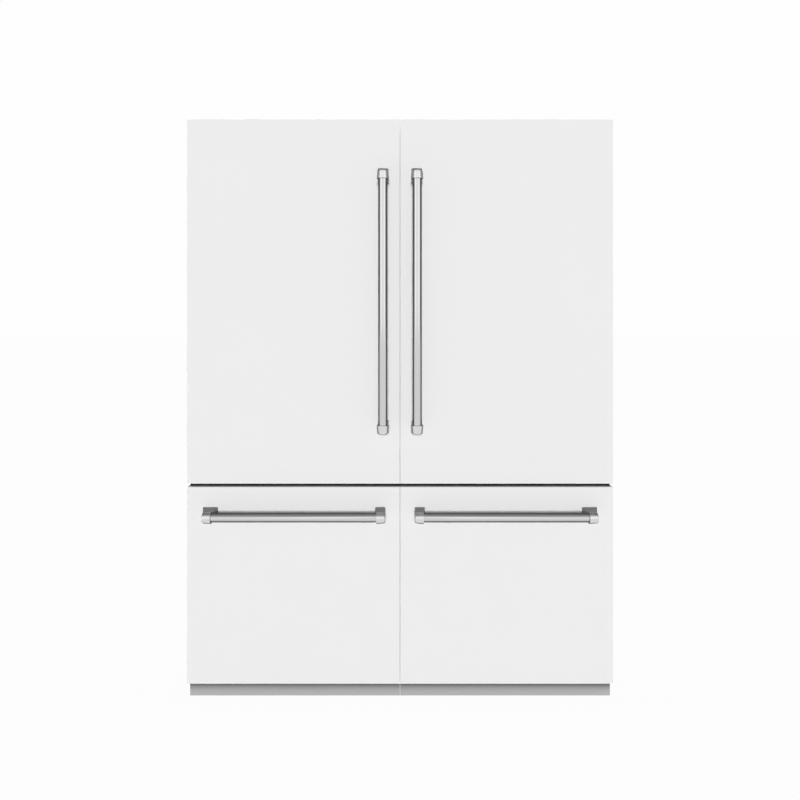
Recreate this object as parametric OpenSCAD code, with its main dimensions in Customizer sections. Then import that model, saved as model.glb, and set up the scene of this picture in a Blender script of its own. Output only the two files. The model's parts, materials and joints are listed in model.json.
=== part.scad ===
// Built-in French door refrigerator: two fridge doors above two freezer drawers.
// Millimetres, +Z up, the doors face -Y. The origin is on the floor, in the middle of the outline.
// Everything is drawn for the right-hand half (+X), and mirrored for the left-hand half.

/* [Overall] */
// Width over both doors
overall_w = 1524; // [1510:1:1540]
// Height from the floor to the top of the doors
overall_h = 2080; // [2070:1:2100]
// Depth from the door faces to the back
body_d = 635; // [630:1:645]

/* [Doors and drawers] */
// Thickness of a door or a drawer front
door_t = 60; // [58:1:64]
// Seam between the left and the right fronts
door_gap = 1; // [1:0.5:3]
// Height of a freezer drawer front
drawer_h = 704; // [700:1:706]
// Gap between the doors and the drawers
band_gap = 12; // [11:0.5:13]
// Height of the drawer fronts above the floor
kick_h = 61; // [61:1:63]
// Thickness of the magnetic gaskets
gasket_t = 12; // [12:0.5:14]
// How far the kick plates stand behind the door faces
kick_setback = 25; // [20:1:35]

/* [Handles] */
// Radius of a handle bar
bar_r = 16; // [14:0.5:17]
// Radius of the collar at the end of a handle
post_r = 21; // [19:0.5:22]
// Distance from the door face to the middle of the bar
standoff = 54; // [50:1:60]
// Length of a door handle over its two collars
door_handle_l = 920; // [700:5:960]
// Length of a drawer handle over its two collars
drawer_handle_l = 636; // [500:1:640]
// Distance from the seam to the middle of a drawer handle
drawer_handle_x = 370; // [365:0.5:385]
// Height of the bottom end of the door handles
door_handle_z = 966; // [900:1:1000]
// Distance from the seam to the middle of a door handle
door_handle_x = 60; // [50:0.5:80]
// How far the foot of a door handle's top post reaches past its collar
top_foot = 20; // [0:1:20]
// How far the foot of a door handle's bottom post reaches past its collar
bottom_foot = 9; // [0:1:20]
// How far the foot of a drawer handle's outer post reaches past its collar
outer_foot = 18; // [0:1:20]
// How far the foot of a drawer handle's post beside the seam reaches past its collar
seam_foot = 0; // [0:1:20]

/* [Compartments] */
// Thickness of the insulated outer walls
wall = 48; // [47:1:49]
// Vertical distance between two shelves
shelf_pitch = 240; // [230:1:242]
// Thickness of the moulded liners
liner_t = 3; // [2.5:0.5:3]

/* [Hidden] */
$fn = 64;

// Depths, from the handles (-Y) to the back (+Y)
handle_reach = standoff + post_r;
y_back = (body_d + handle_reach) / 2;
y_face = y_back - body_d;
y_rear = y_face + door_t;
y_cab = y_rear + gasket_t;
y_kick = y_face + kick_setback;
kick_inset = 2;
back_y = y_back - 3;
bar_y = y_face - standoff;

// Heights of the fronts, and their two sides in X
dr_z0 = kick_h;
dr_z1 = dr_z0 + drawer_h;
do_z0 = dr_z1 + band_gap;
do_z1 = overall_h;
front_x0 = door_gap / 2;
front_x1 = overall_w / 2;
skin_t = 1.5;
flange_t = 4;

// Cabinet shell
sheet = 1.5;
frame_t = 3;
cab_half = front_x1 - 3;
inner_x = cab_half - sheet;
cab_z0 = kick_h + 1;
cab_z1 = overall_h - 16;

// Compartments: the faces of the right-hand cavities
partition_half = 24;
cav_x0 = partition_half;
cav_x1 = cab_half - wall;
cav_cx = (cav_x0 + cav_x1) / 2;
cav_y1 = back_y - 52;
rail_z = (dr_z1 + do_z0) / 2;
rail_half = 30;
fr_z0 = rail_z + rail_half;
fr_z1 = cab_z1 - wall - 2;
fz_z0 = cab_z0 + wall;
fz_z1 = rail_z - rail_half;

// Machine compartment along the bottom of the back
mach_y0 = back_y - 212;
mach_z1 = 300;
hump_y = mach_y0 - 45;
hump_z = mach_z1 + 45;

// Hinges: pins through the rear outer corners of the doors
hinge_x = front_x1 - 22;
hinge_y = y_rear - 25;
hinge_t = 5;
nose_r = 14;
pin_r = 5;
pin_clear = 0.06;
pin_l = 26;
pocket_z = cab_z1 - 4;
arm_z0 = rail_z - 3;

// Shelves and crispers
shelf_y0 = y_cab + 127;
shelf_y1 = cav_y1 - 30;
shelf_h = 12;
glass_t = 4;
shelf_z = [for (i = [0 : 3]) fr_z0 + 211 + i * shelf_pitch];
rib = 9;
crisper_z0 = fr_z0 + 5;
crisper_z1 = crisper_z0 + 180;
crisper_y1 = shelf_y1 - 8;
slide_gap = 0.4;

// Door inner panels and bins
plug_gap = 11;
plug_x0 = cav_x0 + plug_gap;
plug_x1 = cav_x1 - plug_gap;
plug_y = y_rear + 16;
ridge_w = 30;
ridge_y = plug_y + 44;
ridge_z0 = fr_z0 + 219;
ridge_z1 = fr_z1 - 14;
bin_x0 = plug_x0 + ridge_w + 1;
bin_x1 = plug_x1 - ridge_w - 1;
bin_d = 105;
bin_t = 2.5;
bin_z = [for (rise = [25, 265, 495, 720]) ridge_z0 + rise];
bin_h = [150, 110, 110, 98];
lid_z = bin_z[3] + bin_h[3] + 1;
lid_t = 3;
lid_axis_y = plug_y + 7.5;
lid_axis_z = lid_z + 4;
lid_barrel_r = 4;
lid_pin_r = 2.5;

// Freezer drawer internals
dr_plug_y = y_rear + 24.5;
runner_z0 = 535;
runner_h = 45;
runner_y0 = dr_plug_y + 1;
duct_y = cav_y1 - 84;
runner_y1 = duct_y - 4;
channel_t = 1.5;
play = 0.5;
channel_w = 12.5;
side_plate_x = cav_x0 + 14.5;
side_plate_t = 2;
ledge_w = 5.5;
basket_z0 = fz_z0 + 16;
basket_z1 = 522;
basket_y0 = dr_plug_y + 5;
basket_y1 = hump_y - 12;
tray_z0 = 592;
tray_z1 = 656;
tray_y1 = basket_y0 + 282;

// Undercarriage
beam_x = [40, cab_half - 19];
beam_w = 22;
beam_z0 = 18;
deck_t = 6;
deck_z0 = cab_z0 - deck_t;
fit_gap = 0.05;
under_deck = deck_z0 - fit_gap;
rear_lip_h = 28;
rear_lip_t = 13;
cross_h = 16;
cross_t = 8;
fork_end = 38;
front_y = y_cab + 4;
foot_y = y_cab + 42.5;
foot_r = 18;
stem_r = 6;
roller_r = 22;
roller_w = 20;
roller_y = back_y - 52;
axle_r = 4;

// Fans
fan_z = 178;
fan_y = mach_y0 + 107;
fan_r = 70;
fan_x0 = 36;
evap_fan_y = duct_y + 21;
evap_fan_z = 655;
evap_fan_r = 46;
shaft_r = 3;

// Handle heights
door_bar_z1 = door_handle_z + door_handle_l;
drawer_bar_z = dr_z1 - 91;
post_l = 31;
root_half = 18;
cap_h = 3;
root_spread = 5;
cap_r = bar_r + 2.5;
socket_d = 8;

// Colours
WHITE = [0.93, 0.93, 0.93];
LINER = [0.96, 0.96, 0.95];
STEEL = [0.72, 0.72, 0.73];
POLISHED = [0.80, 0.80, 0.81];
GREY = [0.66, 0.67, 0.68];
DARK = [0.12, 0.12, 0.13];
COPPER = [0.72, 0.42, 0.28];
CLEAR = [0.85, 0.92, 0.95, 0.4];
GLASS = [0.75, 0.88, 0.85, 0.35];

// ---------- helpers ----------
module block(lo, hi) { translate(lo) cube(hi - lo); }

module both() {
    children();
    mirror([1, 0, 0]) children();
}

// Draws a right-hand piece on the right (s > 0) or mirrored on the left
module side(s) {
    if (s > 0) children();
    else mirror([1, 0, 0]) children();
}

// Repeats a piece on the other wall of the right-hand compartment
module on_both_walls() {
    children();
    translate([2 * cav_cx, 0, 0]) mirror([1, 0, 0]) children();
}

module rod_x(x0, x1, y, z, r) { translate([x0, y, z]) rotate([0, 90, 0]) cylinder(h = x1 - x0, r = r); }
module rod_y(x, y0, y1, z, r) { translate([x, y0, z]) rotate([-90, 0, 0]) cylinder(h = y1 - y0, r = r); }
module rod_z(x, y, z0, z1, r) { translate([x, y, z0]) cylinder(h = z1 - z0, r = r); }

// An open tub between two corners, with walls of thickness t
module tub(lo, hi, t) {
    difference() {
        block(lo, hi);
        block(lo + [t, t, t], [hi[0] - t, hi[1] - t, hi[2] + 1]);
    }
}

// A rectangular ring standing in the XZ plane, with a border of width w
module ring_xz(lo, hi, w) {
    difference() {
        block(lo, hi);
        block([lo[0] + w, lo[1] - 1, lo[2] + w], [hi[0] - w, hi[1] + 1, hi[2] - w]);
    }
}

// A channel along Y whose web is at x0; its flanges reach x1
module channel(x0, x1, z0, z1, y0, y1) {
    t = x1 > x0 ? channel_t : -channel_t;
    lo = min(x0, x1);
    hi = max(x0, x1);
    block([lo, y0, z0], [hi, y1, z0 + channel_t]);
    block([lo, y0, z1 - channel_t], [hi, y1, z1]);
    block([min(x0, x0 + t), y0, z0], [max(x0, x0 + t), y1, z1]);
}

// Fan blades and hub around Z, from z = 0 to z = h
module rotor(r, hub_r, h, bore_r, count) {
    difference() {
        union() {
            cylinder(h = h, r = hub_r);
            for (i = [0 : count - 1])
                rotate([0, 0, i * 360 / count]) translate([hub_r - 2, 0, h / 2]) rotate([35, 0, 0])
                    block([0, -h * 0.75, -1], [r - hub_r, h * 0.75, 1]);
        }
        translate([0, 0, -1]) cylinder(h = h + 2, r = bore_r);
    }
}

// ---------- screws ----------
screw_r = 2.5;
screw_l = 14;
head_r = 5;
head_h = 2.8;
plate_t = 2.5;
mid_screw_z = rail_z - 19;
kick_screw_z = 36;
cover_screw_z = cab_z0 + 16;
// Angles about X that turn +Z to the side a screw's head is on
UP = 0;
FRONT = 90;
BACK = -90;
top_screws = [
    for (p = [[0, 62], [0, 92], [-36, 77]]) [[hinge_x + p[0], hinge_y + p[1], cab_z1 + hinge_t], UP]
];
mid_screws = [for (x = [-18, -6]) [[cab_half + x, y_cab - plate_t, mid_screw_z], FRONT]];
kick_screws = [for (x = beam_x) [[x, front_y - 2, kick_screw_z], FRONT]];
cover_screws = [for (x = [60 : 225 : 735]) [[x, back_y, cover_screw_z], BACK]];

module screws(grow = 0, heads = true) {
    both() for (s = concat(top_screws, mid_screws, kick_screws, cover_screws))
        translate(s[0]) rotate([s[1], 0, 0]) {
            translate([0, 0, -screw_l - grow]) cylinder(h = screw_l + grow + 0.01, r = screw_r + grow);
            if (heads) cylinder(h = head_h, r = head_r);
        }
}

module cabinet_screws() { color(STEEL) screws(); }
module screw_holes() { screws(0.05, false); }

// ---------- cabinet ----------
module fridge_space(grow) {
    block([cav_x0 - grow, y_cab - 1, fr_z0 - grow], [cav_x1 + grow, cav_y1 + grow, fr_z1 + grow]);
}

module freezer_space(grow) {
    block([cav_x0 - grow, y_cab - 1, fz_z0 - grow], [cav_x1 + grow, hump_y + grow, fz_z1 + grow]);
    block([cav_x0 - grow, y_cab - 1, hump_z - grow], [cav_x1 + grow, cav_y1 + grow, fz_z1 + grow]);
}

module machine_space() {
    block([-cab_half - 1, mach_y0, cab_z0 - 1], [cab_half + 1, y_back + 1, mach_z1]);
}

module outer_wrapper() {
    color(WHITE) difference() {
        block([-cab_half, y_cab, cab_z0], [cab_half, y_back, cab_z1]);
        block([-inner_x, y_cab + frame_t, cab_z0 - 1], [inner_x, y_back + 1, cab_z1 - sheet]);
        both() fridge_space(liner_t);
        both() freezer_space(liner_t);
        screw_holes();
    }
}

module back_panel() {
    color(STEEL) block([-inner_x, back_y - sheet, mach_z1], [inner_x, back_y, cab_z1 - sheet]);
}

module cabinet_foam() {
    color("moccasin") difference() {
        block([-inner_x, y_cab + frame_t, cab_z0], [inner_x, back_y - sheet, cab_z1 - sheet]);
        both() fridge_space(liner_t);
        both() freezer_space(liner_t);
        machine_space();
        screw_holes();
    }
}

module wall_rib(z, y1) {
    on_both_walls() block([cav_x0 - 1, shelf_y0, z - rib], [cav_x0 + rib, y1, z]);
}

module fridge_liners() {
    color(LINER) both() {
        difference() {
            intersection() {
                fridge_space(liner_t);
                block([0, y_cab, 0], [cab_half, y_back, overall_h]);
            }
            fridge_space(0);
        }
        for (z = shelf_z) wall_rib(z, shelf_y1);
        wall_rib(crisper_z1 - slide_gap, crisper_y1);
    }
}

module freezer_liners() {
    color(LINER) both() difference() {
        intersection() {
            freezer_space(liner_t);
            block([0, y_cab, 0], [cab_half, y_back, overall_h]);
        }
        freezer_space(0);
    }
}

// ---------- base ----------
module base_frame() {
    color(GREY) difference() {
        union() {
            block([-cab_half, front_y, deck_z0], [cab_half, back_y - sheet, cab_z0]);
            block([-inner_x, back_y - rear_lip_t, deck_z0], [inner_x, back_y - sheet, cab_z0 + rear_lip_h]);
            cross_member(-beam_x[0] + beam_w / 2, beam_x[0] - beam_w / 2, beam_z0);
            both() cross_member(beam_x[0] + beam_w / 2, beam_x[1] - beam_w / 2, deck_z0 - cross_h);
            both() for (x = beam_x) {
                block([x - beam_w / 2, front_y, beam_z0], [x + beam_w / 2, roller_y - fork_end, under_deck]);
                roller_fork(x);
            }
        }
        both() for (x = beam_x) rod_z(x, foot_y, beam_z0 - 1, deck_z0 - 10, stem_r + 0.02);
        screw_holes();
    }
}

// A bar between two beams, behind the kick plates
module cross_member(x0, x1, z0) {
    block([x0 + fit_gap, front_y, z0], [x1 - fit_gap, front_y + cross_t, under_deck]);
}

module roller_fork(x) {
    for (s = [-1, 1]) {
        a = x + s * (roller_w / 2 + 2);
        b = a + s * 4;
        block([min(a, b), roller_y - 22, 12], [max(a, b), roller_y + 22, under_deck]);
    }
    rod_x(x - roller_w / 2 - 6, x + roller_w / 2 + 6, roller_y, roller_r, axle_r);
}

module rear_rollers() {
    color(DARK) both() for (x = beam_x) difference() {
        rod_x(x - roller_w / 2, x + roller_w / 2, roller_y, roller_r, roller_r);
        rod_x(x - roller_w, x + roller_w, roller_y, roller_r, axle_r + pin_clear);
        for (s = [-1, 1]) difference() {
            rod_x(x + s * roller_w / 2 - 3, x + s * roller_w / 2 + 3, roller_y, roller_r, roller_r - 5);
            rod_x(x - roller_w, x + roller_w, roller_y, roller_r, axle_r + 4);
        }
    }
}

module leveling_feet() {
    color(DARK) both() for (x = beam_x) {
        rod_z(x, foot_y, 0, 8, foot_r);
        translate([x, foot_y, 8]) cylinder(h = 5, r = stem_r * 1.8, $fn = 6);
        rod_z(x, foot_y, 13, deck_z0 - 12, stem_r);
    }
}

module kick_plates() {
    x1 = front_x1 - kick_inset;
    z1 = kick_h - 3;
    color(GREY) both() difference() {
        union() {
            block([front_x0, y_kick, 3], [x1, y_kick + 2, z1]);
            block([front_x0, y_kick, z1 - 2], [x1, front_y - 2, z1]);
            for (x = beam_x) block([x - 14, front_y - 2, 22], [x + 14, front_y, z1]);
            for (x = beam_x) block([x - 14, front_y - 4, z1 - 2], [x + 14, front_y, z1]);
        }
        screw_holes();
    }
}

// ---------- hinges and trim ----------
module hinge_arm(z0, y1) {
    rod_z(hinge_x, hinge_y, z0, z0 + hinge_t, nose_r);
    block([hinge_x - nose_r, hinge_y, z0], [hinge_x + nose_r, y1, z0 + hinge_t]);
}

module hinge_brackets() {
    color(STEEL) both() difference() {
        union() {
            hinge_arm(cab_z1, hinge_y + 50);
            block([hinge_x - 50, y_cab + 7, cab_z1], [cab_half - 3, y_cab + 68, cab_z1 + hinge_t]);
            rod_z(hinge_x, hinge_y, cab_z1 - pin_l, cab_z1 + 1, pin_r);
            hinge_arm(arm_z0, y_cab);
            block([cab_half - 24, y_cab - plate_t, arm_z0 - 26], [cab_half, y_cab, arm_z0 + hinge_t]);
            rod_z(hinge_x, hinge_y, arm_z0 + 1, arm_z0 + hinge_t + pin_l, pin_r);
        }
        screw_holes();
    }
}

// Dark strip that closes the gap between the doors and the drawers
module band_trim() {
    z0 = dr_z1 + 1;
    z1 = do_z0 - 1;
    color(DARK) difference() {
        rotate([90, 0, 0]) translate([0, 0, 2 - y_cab]) linear_extrude(height = door_t - 2)
            polygon([
                [-front_x1 + 6, z0], [front_x1 - 6, z0], [front_x1 - 10, z1], [-front_x1 + 10, z1]
            ]);
        both() {
            block([hinge_x - nose_r - 1, hinge_y - nose_r - 1, z0 - 1], [front_x1, y_cab, z1 + 1]);
            block([cab_half - 25, y_cab - 9, z0 - 1], [front_x1, y_cab, z1 + 1]);
        }
    }
}

// ---------- shelves, ducts and cooling ----------
module shelf_frames() {
    x0 = cav_x0 + 2;
    x1 = cav_x1 - 2;
    color(LINER) both() for (z = shelf_z) difference() {
        block([x0, shelf_y0, z], [x1, shelf_y1, z + shelf_h]);
        block([x0 + 20, shelf_y0 + 20, z - 1], [x1 - 20, shelf_y1 - 20, z + shelf_h + 1]);
        block([x0 + 10, shelf_y0 + 8, z + shelf_h - glass_t], [x1 - 10, shelf_y1 - 8, z + shelf_h + 1]);
    }
}

module glass_shelves() {
    x0 = cav_x0 + 12;
    x1 = cav_x1 - 12;
    color(GLASS) both() for (z = shelf_z)
        block([x0, shelf_y0 + 8, z + shelf_h - glass_t], [x1, shelf_y1 - 8, z + shelf_h]);
}

module air_duct_covers() {
    half = 110;
    color(LINER) both() {
        difference() {
            block([cav_cx - half, cav_y1 - 18, fr_z0 + 30], [cav_cx + half, cav_y1, fr_z1 - 24]);
            for (z = shelf_z, rise = [120 : 14 : 162])
                block([cav_cx - 60, cav_y1 - 20, z + rise], [cav_cx + 60, cav_y1 - 8, z + rise + 6]);
        }
        difference() {
            block([cav_x0 + 0.5, duct_y, hump_z + 0.5], [cav_x1 - 0.5, duct_y + 3, fz_z1 - 0.5]);
            rod_y(cav_cx, duct_y - 1, duct_y + 4, evap_fan_z, evap_fan_r + 4);
            for (x = [-200 : 50 : 200])
                block([cav_cx + x - 18, duct_y - 1, hump_z + 18], [cav_cx + x + 18, duct_y + 4, hump_z + 26]);
        }
        for (a = [0, 60, 120]) translate([cav_cx, duct_y, evap_fan_z]) rotate([0, a, 0])
            block([-evap_fan_r - 5, 0, -4], [evap_fan_r + 5, 3, 4]);
        for (r = [28, 39]) translate([cav_cx, duct_y, evap_fan_z]) rotate([-90, 0, 0]) difference() {
            cylinder(h = 3, r = r + 1.5);
            translate([0, 0, -1]) cylinder(h = 5, r = r - 1.5);
        }
        rod_y(cav_cx, duct_y, duct_y + 12, evap_fan_z, 20);
        rod_y(cav_cx, duct_y + 12, evap_fan_y + 12, evap_fan_z, shaft_r);
    }
}

module evaporators() {
    y0 = duct_y + 10;
    y1 = cav_y1 - 10;
    color(STEEL) both() {
        for (x = [-230 : 20 : 230]) block([cav_cx + x - 0.5, y0, 365], [cav_cx + x + 0.5, y1, 585]);
        for (x = [cav_cx - 236, cav_cx + 236])
            block([x - 1.5, y0 - 2, hump_z + 0.5], [x + 1.5, y1 + 2, 590]);
        for (y = [y0 + 16, y1 - 16], z = [385 : 45 : 565])
            rod_x(cav_cx - 246, cav_cx + 246, y, z, 4);
    }
}

module led_lights() {
    color("white") both() {
        block([cav_cx - 200, y_cab + 75, fr_z1 - 6], [cav_cx + 200, y_cab + 95, fr_z1]);
        block([cav_cx - 200, y_cab + 40, fz_z1 - 6], [cav_cx + 200, y_cab + 60, fz_z1]);
    }
}

module control_panel() {
    color(DARK) block([cav_cx - 90, y_cab + 130, fr_z1 - 11], [cav_cx + 90, y_cab + 210, fr_z1]);
}

module drawer_rails() {
    color(STEEL) both() on_both_walls()
        channel(cav_x0, cav_x0 + channel_w, runner_z0, runner_z0 + runner_h, runner_y0, runner_y1);
}

module compressor() {
    x = -520;
    y = mach_y0 + 112;
    can_r = 74;
    color(DARK) {
        intersection() {
            rod_z(x, y, cab_z0 + 14, cab_z0 + 180, can_r);
            translate([x, y, cab_z0 + 96]) sphere(r = 98);
        }
        block([x - 105, y - 70, cab_z0 + 12], [x + 105, y + 70, cab_z0 + 16]);
        for (sx = [-1, 1], sy = [-1, 1]) rod_z(x + sx * 90, y + sy * 54, cab_z0, cab_z0 + 13, 11);
    }
    color(COPPER) for (dx = [-30, 30]) rod_z(x + dx, y, cab_z0 + 150, cab_z0 + 205, 5);
}

module condenser() {
    x0 = 90;
    x1 = 190;
    y0 = mach_y0 + 26;
    y1 = mach_y0 + 190;
    color(DARK) {
        for (y = [y0 + 8 : 8 : y1 - 8]) block([x0, y - 0.4, cab_z0 + 12], [x1, y + 0.4, mach_z1 - 14]);
        for (y = [y0, y1 - 3]) block([x0 - 4, y, cab_z0], [x1 + 4, y + 3, mach_z1 - 10]);
    }
    color(COPPER) for (x = [x0 + 20, x0 + 50, x0 + 80], z = [cab_z0 + 35 : 42 : mach_z1 - 30])
        rod_y(x, y0 - 8, y1 + 8, z, 4.5);
}

module fan_shroud() {
    color(DARK) {
        difference() {
            union() {
                block([fan_x0 + 26, fan_y - 84, cab_z0], [fan_x0 + 30, fan_y + 84, mach_z1 - 8]);
                rod_x(fan_x0, fan_x0 + 28, fan_y, fan_z, fan_r + 8);
            }
            rod_x(fan_x0 - 1, fan_x0 + 31, fan_y, fan_z, fan_r + 5);
        }
        for (a = [0, 60, 120]) translate([fan_x0 + 1, fan_y, fan_z]) rotate([a, 0, 0])
            block([0, -fan_r - 6.5, -5], [3, fan_r + 6.5, 5]);
        rod_x(fan_x0 - 28, fan_x0 + 4.5, fan_y, fan_z, 24);
        rod_x(fan_x0 + 4, fan_x0 + 27, fan_y, fan_z, axle_r);
    }
}

module condenser_fan() {
    color(GREY) translate([fan_x0 + 6, fan_y, fan_z]) rotate([0, 90, 0])
        rotor(fan_r, 20, 18, axle_r + pin_clear, 5);
}

module evaporator_fan(s) {
    color(GREY) side(s) translate([cav_cx, evap_fan_y - 7, evap_fan_z]) rotate([-90, 0, 0])
        rotor(evap_fan_r, 14, 16, shaft_r + pin_clear, 5);
}

inlet = [[572, 140], [604, 166]];

module control_box() {
    color(GREY) difference() {
        union() {
            block([480, mach_y0 + 30, cab_z0], [690, back_y - 24, 250]);
            block([inlet[0][0], back_y - 25, inlet[0][1]], [inlet[1][0], back_y - 0.5, inlet[1][1]]);
        }
        block([inlet[0][0] + 4, back_y - 18, inlet[0][1] + 4], [inlet[1][0] - 4, back_y, inlet[1][1] - 4]);
    }
    color(STEEL) for (x = [580, 588, 596])
        block([x - 1, back_y - 19, 148], [x + 1, back_y - 4, 156]);
}

module machine_cover() {
    color(STEEL) difference() {
        block([-inner_x, back_y - sheet, cab_z0], [inner_x, back_y, mach_z1]);
        both() for (x = [110 : 130 : 370], z = [120 : 18 : 264])
            block([x, back_y - 5, z], [x + 100, back_y + 1, z + 6]);
        block(
            [inlet[0][0] - 0.5, back_y - 5, inlet[0][1] - 0.5],
            [inlet[1][0] + 0.5, back_y + 1, inlet[1][1] + 0.5]
        );
        screw_holes();
    }
}

// ---------- crispers ----------
module crisper(s) {
    x0 = cav_x0 + 12;
    x1 = cav_x1 - 12;
    color(CLEAR) side(s) {
        tub([x0, shelf_y0, crisper_z0], [x1, crisper_y1, crisper_z1], bin_t);
        on_both_walls() block([cav_x0 + 2, shelf_y0, crisper_z1], [x0 + 3, crisper_y1, crisper_z1 + 3]);
        block([cav_cx - 100, shelf_y0 - 12, crisper_z1 - 24], [cav_cx + 100, shelf_y0 + 1, crisper_z1 - 18]);
    }
}

// ---------- doors ----------
module front_skin(z0, z1) {
    difference() {
        block([front_x0, y_face, z0], [front_x1, y_rear - flange_t, z1]);
        block(
            [front_x0 + skin_t, y_face + skin_t, z0 + skin_t],
            [front_x1 - skin_t, y_rear, z1 - skin_t]
        );
    }
}

// Foam-filled body inside the skin, with the flange that closes it
module front_core(z0, z1) {
    block([front_x0 + skin_t, y_face + skin_t, z0 + skin_t], [front_x1 - skin_t, y_rear, z1 - skin_t]);
    block([front_x0 + 0.5, y_rear - flange_t, z0 + 0.5], [front_x1 - 0.5, y_rear, z1 - 0.5]);
}

// Room for the top hinge plate, open to the side so that the door can swing
module hinge_pocket() {
    block([hinge_x - nose_r - 4, y_face + 7.5, pocket_z], [front_x1 + 1, y_rear + 1, do_z1 + 1]);
}

module door_skin(s) {
    color(WHITE) side(s) difference() {
        front_skin(do_z0, do_z1);
        hinge_pocket();
        rod_z(hinge_x, hinge_y, do_z0 - 1, do_z0 + 10, pin_r + 3);
    }
}

module bin_lugs() {
    for (z = bin_z) on_both_walls()
        block([plug_x0 + ridge_w - 1, plug_y - 1, z - 8], [bin_x0 + 14, plug_y + 40, z]);
}

module door_inner_panel(s) {
    color(LINER) side(s) difference() {
        union() {
            front_core(do_z0, do_z1);
            block([plug_x0, y_rear - 1, fr_z0 + plug_gap], [plug_x1, plug_y, fr_z1 - plug_gap]);
            on_both_walls() block([plug_x0, plug_y - 1, ridge_z0], [plug_x0 + ridge_w, ridge_y, ridge_z1]);
            bin_lugs();
        }
        hinge_pocket();
        rod_z(hinge_x, hinge_y, do_z0 - 1, do_z0 + pin_l, pin_r + pin_clear);
        rod_z(hinge_x, hinge_y, pocket_z - pin_l, pocket_z + 1, pin_r + pin_clear);
        if (s > 0) rod_x(bin_x0 - 9, bin_x1 + 9, lid_axis_y, lid_axis_z, lid_pin_r + pin_clear);
    }
}

module seal(x0, x1, z0, z1) {
    ring_xz([x0, y_rear, z0], [x1, y_rear + 4, z1], 18);
    ring_xz([x0 + 3, y_rear + 3, z0 + 3], [x1 - 3, y_cab - slide_gap, z1 - 3], 12);
}

seal_x0 = front_x0 + 3;
seal_x1 = cav_x1 + 20;

module door_gasket(s) {
    color(GREY) side(s) seal(seal_x0, seal_x1, fr_z0 - 21, fr_z1 + 21);
}

module door_bins(s) {
    color(CLEAR) side(s) for (i = [0 : 3])
        tub([bin_x0, plug_y, bin_z[i]], [bin_x1, plug_y + bin_d, bin_z[i] + bin_h[i]], bin_t);
}

module dairy_lid() {
    y1 = plug_y + bin_d + 3;
    color(CLEAR) {
        block([bin_x0, lid_axis_y, lid_z], [bin_x1, y1, lid_z + lid_t]);
        block([bin_x0, y1 - 2.5, lid_z - 18], [bin_x1, y1, lid_z + lid_t]);
        rod_x(bin_x0, bin_x1, lid_axis_y, lid_axis_z, lid_barrel_r);
        rod_x(bin_x0 - 8, bin_x1 + 8, lid_axis_y, lid_axis_z, lid_pin_r);
    }
}

// ---------- handles ----------
// One end post: the collar runs from z = 0 up +Z around the bar, and its foot meets the door at y = standoff
module post(foot) {
    color(POLISHED) difference() {
        union() {
            cylinder(h = cap_h, r1 = bar_r, r2 = cap_r);
            translate([0, 0, cap_h]) cylinder(h = post_l - cap_h, r1 = cap_r, r2 = post_r);
            rotate([90, 0, 90]) linear_extrude(height = 2 * root_half, center = true)
                polygon([[0, cap_h], [standoff, -foot], [standoff, post_l + root_spread], [0, post_l]]);
        }
        translate([0, 0, socket_d]) cylinder(h = post_l, r = bar_r);
    }
}

module door_handle_posts(s) {
    side(s) {
        translate([door_handle_x, bar_y, door_handle_z]) post(bottom_foot);
        translate([door_handle_x, bar_y, door_bar_z1]) mirror([0, 0, 1]) post(top_foot);
    }
}

module door_handle_bar(s) {
    color(POLISHED) side(s)
        rod_z(door_handle_x, bar_y, door_handle_z + socket_d, door_bar_z1 - socket_d, bar_r);
}

module drawer_handle_posts(s) {
    side(s) for (e = [-1, 1]) translate([drawer_handle_x - e * drawer_handle_l / 2, bar_y, drawer_bar_z])
        rotate([0, e * 90, 0]) post(e == 1 ? seam_foot : outer_foot);
}

module drawer_handle_bar(s) {
    half = drawer_handle_l / 2 - socket_d;
    color(POLISHED) side(s)
        rod_x(drawer_handle_x - half, drawer_handle_x + half, bar_y, drawer_bar_z, bar_r);
}

// ---------- freezer drawers ----------
module drawer_skin(s) { color(WHITE) side(s) front_skin(dr_z0, dr_z1); }

module drawer_inner_panel(s) {
    color(LINER) side(s) {
        front_core(dr_z0, dr_z1);
        block([plug_x0, y_rear - 1, fz_z0 + plug_gap], [plug_x1, dr_plug_y, fz_z1 - plug_gap]);
    }
}

module drawer_gasket(s) {
    color(GREY) side(s) seal(seal_x0, seal_x1, fz_z0 - 21, fz_z1 + 21);
}

// Inner slide member, side plate with its two ledges, and the tab on the drawer front
module drawer_runners(s) {
    in = 2 * (channel_t + play);
    px = side_plate_x + side_plate_t;
    color(STEEL) side(s) on_both_walls() {
        channel(
            side_plate_x, cav_x0 + in,
            runner_z0 + in, runner_z0 + runner_h - in,
            runner_y0, runner_y1
        );
        block([side_plate_x, dr_plug_y, basket_z1 - 2], [px, runner_y1, tray_z1]);
        block([side_plate_x, dr_plug_y, tray_z0], [side_plate_x + 26, dr_plug_y + 2, tray_z1 - 16]);
        block([px - 1, basket_y0, basket_z1 - 2], [px + ledge_w, basket_y1, basket_z1]);
        block([px - 1, basket_y0, tray_z1 - 2], [px + ledge_w, runner_y1, tray_z1]);
    }
}

module middle_runners(s) {
    in = channel_t + play;
    color(STEEL) side(s) on_both_walls()
        channel(
            cav_x0 + in, cav_x0 + channel_w,
            runner_z0 + in, runner_z0 + runner_h - in,
            runner_y0, runner_y1
        );
}

// Both baskets hang on the ledges by the rims along their sides
module hung_tub(y1, z0, z1, lift) {
    px = side_plate_x + side_plate_t;
    x0 = px + ledge_w + 2;
    tub([x0, basket_y0, z0], [2 * cav_cx - x0, y1, z1 + lift + 3], 3);
    on_both_walls() block([px + 0.5, basket_y0, z1 + lift], [x0 + 1, y1, z1 + lift + 3]);
}

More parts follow.
